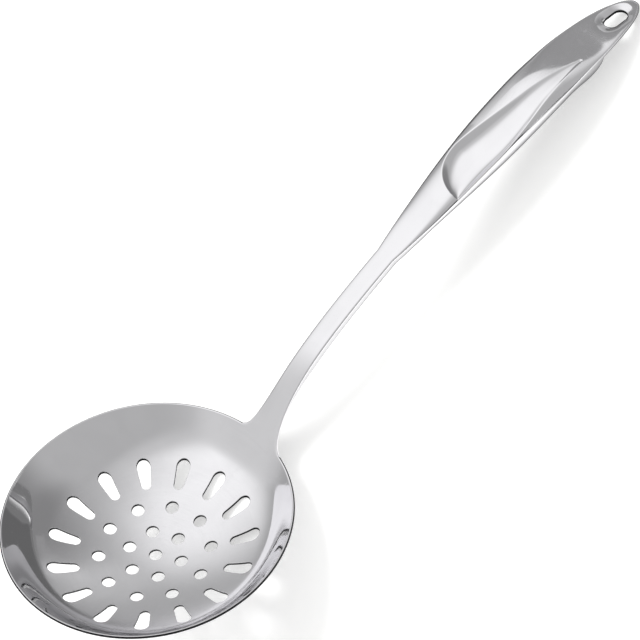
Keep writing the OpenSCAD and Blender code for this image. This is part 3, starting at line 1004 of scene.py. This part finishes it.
def card(name, points, faces, levels, covers=None):
    """A card that shows only in reflections; each point has its brightness and cover."""
    thing = new_object(name, points, faces)
    store(thing.data, "level", levels)
    store(thing.data, "cover", [1.0] * len(points) if covers is None else covers)
    thing.visible_camera = thing.visible_diffuse = thing.visible_shadow = False
    thing.visible_transmission = False
    thing.data.materials.append(card_paper)


# %% [markdown]
# ## The strip that the near edge mirrors
# The photo shows a thin dark line along the spoon's near edge, where its
# surface curls under. To find what that line mirrors, we bounce the camera's
# view off the curled edge, at four leans of its surface, and see where it lands
# on the floor. The ribbon through the four landing rows is the card we need. Its
# outer rows and its ends fade out, so that no other side of the steel shows a
# hard edge. One more dark card stands low in front, for the bowl's near wall.

# %% A dark strip on the floor, and a dark card low down
LOOK = np.array([-0.018, 0.569, -0.822])      # the way the camera looks
turn = np.radians(np.linspace(-200, -20, 60))
rim = np.stack([RIM_R * np.cos(turn), RIM_R * np.sin(turn), 0 * turn], 1)
s = np.linspace(14, HANDLE_L - 2, 60)
x, z = spine(s)
side = np.stack([x, -half_width(s), z], 1)
edge = (turned(np.concatenate([rim, side]), rest) + shift) / 1000
out = np.cross(np.gradient(edge, axis=0), LOOK)
out /= np.linalg.norm(out, axis=1)[:, None]


def grid_faces(rows, columns):
    """Four-sided faces between points that stand in rows and columns."""
    return [[k * columns + i, k * columns + i + 1, (k + 1) * columns + i + 1, (k + 1) * columns + i]
            for k in range(rows - 1) for i in range(columns - 1)]


def ribbon(name, leans, covers, level):
    """A strip on the floor that the near edge mirrors, with a row for each lean."""
    rows = []
    for lean in leans:
        way = LOOK * math.cos(math.radians(2 * lean)) + out * math.sin(math.radians(2 * lean))
        rows.append(edge + way * ((0.0001 - edge[:, 2]) / way[:, 2])[:, None])
    n = len(edge)
    ends = ease(np.arange(n) / 14) * ease((n - 1 - np.arange(n)) / 14)
    card(name, np.concatenate(rows), grid_faces(len(rows), n),
         [level] * len(rows) * n, np.concatenate([cover * ends for cover in covers]))


ribbon("dark_strip", (0, 3, 17, 27), (0, 1, 1, 0), 0.14)
card("low_dark", [(-0.35, -0.6, -0.04), (0.2, -0.6, -0.04), (0.2, -0.6, 0.24), (-0.35, -0.6, 0.24)],
     [[0, 1, 2, 3]], [0.02] * 4)
print("the strip follows", len(edge), "places on the near edge")

# %% [markdown]
# ## A grey sheet behind the spoon
# The far half of the bowl's wall mirrors the floor behind the spoon, and the
# photo shows it grey. This card is a fine grid whose cover fades to nothing at
# its edges. It also reaches past the tip, which the bowl's left wall mirrors. A
# brighter card stands behind the tip for the flat end of the grip.

# %% The grey sheet and the tip's card
SHEET_GREY = 0.2
sheet_x, sheet_y = np.meshgrid(np.linspace(-0.11, 0.33, 89), np.linspace(-0.20, 0.30, 101))
near_side = np.interp(sheet_x, [-0.05, 0.03, 0.13, 0.2, 0.3],
                      [0.0, -0.012, -0.016, -0.008, 0.0])
behind = ease((sheet_y - near_side + 0.012) / 0.02) * ease((sheet_x + 0.09) / 0.06)
beyond_tip = ease((sheet_x - 0.10) / 0.03) * ease((-0.03 - sheet_y) / 0.02)
cover = np.maximum(behind, beyond_tip) * ease((0.325 - np.hypot(sheet_x, sheet_y)) / 0.04)
sheet = np.stack([sheet_x.ravel(), sheet_y.ravel(), np.full(sheet_x.size, 0.00005)], 1)
card("grey_sheet", sheet, grid_faces(*sheet_x.shape), [SHEET_GREY] * len(sheet), cover.ravel())
card("tip_card", [(0.235, 0.030, 0.03), (0.170, 0.095, 0.03), (0.10, 0.12, 0.03),
                  (0.262, 0.060, 0.11), (0.197, 0.13, 0.11), (0.12, 0.16, 0.11)],
     [[0, 1, 4, 3], [1, 2, 5, 4]], [0.30, 0.30, 0.55, 0.32, 0.36, 0.8])
print(card_paper.users, "cards stand around the spoon")

# %% [markdown]
# ## The studio's light
# The room is a grey world with a few broad panels of light and shade in it.
# Each panel is a soft round patch around one direction. The dot product of two
# directions is 1 where they agree and falls as they part, so a Map Range node
# turns it into a soft mask. The camera sees plain white where the paper ends.
# A broad soft sun stands for the window that casts the shadow.

# %% Light
ROOM_GREY = 0.48
PANELS = [                       # brightness, its two angles, inner and outer radius in degrees
    (0.62, 79, 70, 31, 55), (1.05, 84, 56, 14, 52), (0.25, -4, 2, 0, 41),
    (0.62, 36, 14, 0, 15), (0.40, 106, -39, 27, 104), (0.68, 162, 31, 23, 46)]
world = bpy.data.worlds.new("studio")
world.use_nodes = True
room = world.node_tree
place = room.nodes.new("ShaderNodeTexCoord")
glow = (ROOM_GREY, ROOM_GREY, ROOM_GREY, 1)
for level, azimuth, elevation, inner, outer in PANELS:
    dot = node(room, "ShaderNodeVectorMath", operation="DOT_PRODUCT",
               Vector=place.outputs["Generated"])
    dot.inputs[1].default_value = direction(azimuth, elevation)
    mask = node(room, "ShaderNodeMapRange", interpolation_type="SMOOTHERSTEP",
                From_Min=math.cos(math.radians(outer)), From_Max=math.cos(math.radians(inner)),
                Value=dot.outputs["Value"])
    mix = node(room, "ShaderNodeMix", data_type="RGBA", Factor=mask.outputs["Result"],
               A=glow, B=(level, level, level, 1))
    glow = mix.outputs["Result"]
rays = room.nodes.new("ShaderNodeLightPath")
shown = node(room, "ShaderNodeMix", data_type="RGBA", Factor=rays.outputs["Is Camera Ray"],
             A=glow, B=WHITE)
room.links.new(shown.outputs["Result"], room.nodes["Background"].inputs["Color"])
room.nodes["Background"].inputs["Strength"].default_value = 1.0
bpy.context.scene.world = world

sun = bpy.data.lights.new("window", "SUN")
sun.energy = 1.7
sun.angle = math.radians(28)
window = add_to_scene("window", sun)
window.rotation_euler = Vector(direction(97, 52)).to_track_quat("Z", "Y").to_euler()
window.visible_glossy = False
print("the room has", len(PANELS), "panels and one lamp")

# %% [markdown]
# ## The camera
# The camera stands where the photographer's camera stood. Its place, its lens
# and its tilt were fitted to the bowl's rim and its openings, whose true shapes
# are known. A long lens from a moderate distance keeps the round bowl calm.

# %% The camera
lens = bpy.data.cameras.new("photo_camera")
lens.sensor_width = 36
lens.lens = 112.5
camera = add_to_scene("photo_camera", lens)
camera.location = (0.00062, -0.44724, 0.67592)
camera.rotation_euler = Euler([math.radians(a) for a in (23.1751, 26.6155, -44.4751)], "XYZ")
bpy.context.scene.camera = camera
bpy.context.scene.view_settings.view_transform = "Standard"
print("the camera is", round(camera.location.length, 2), "m away, with a lens of", lens.lens, "mm")
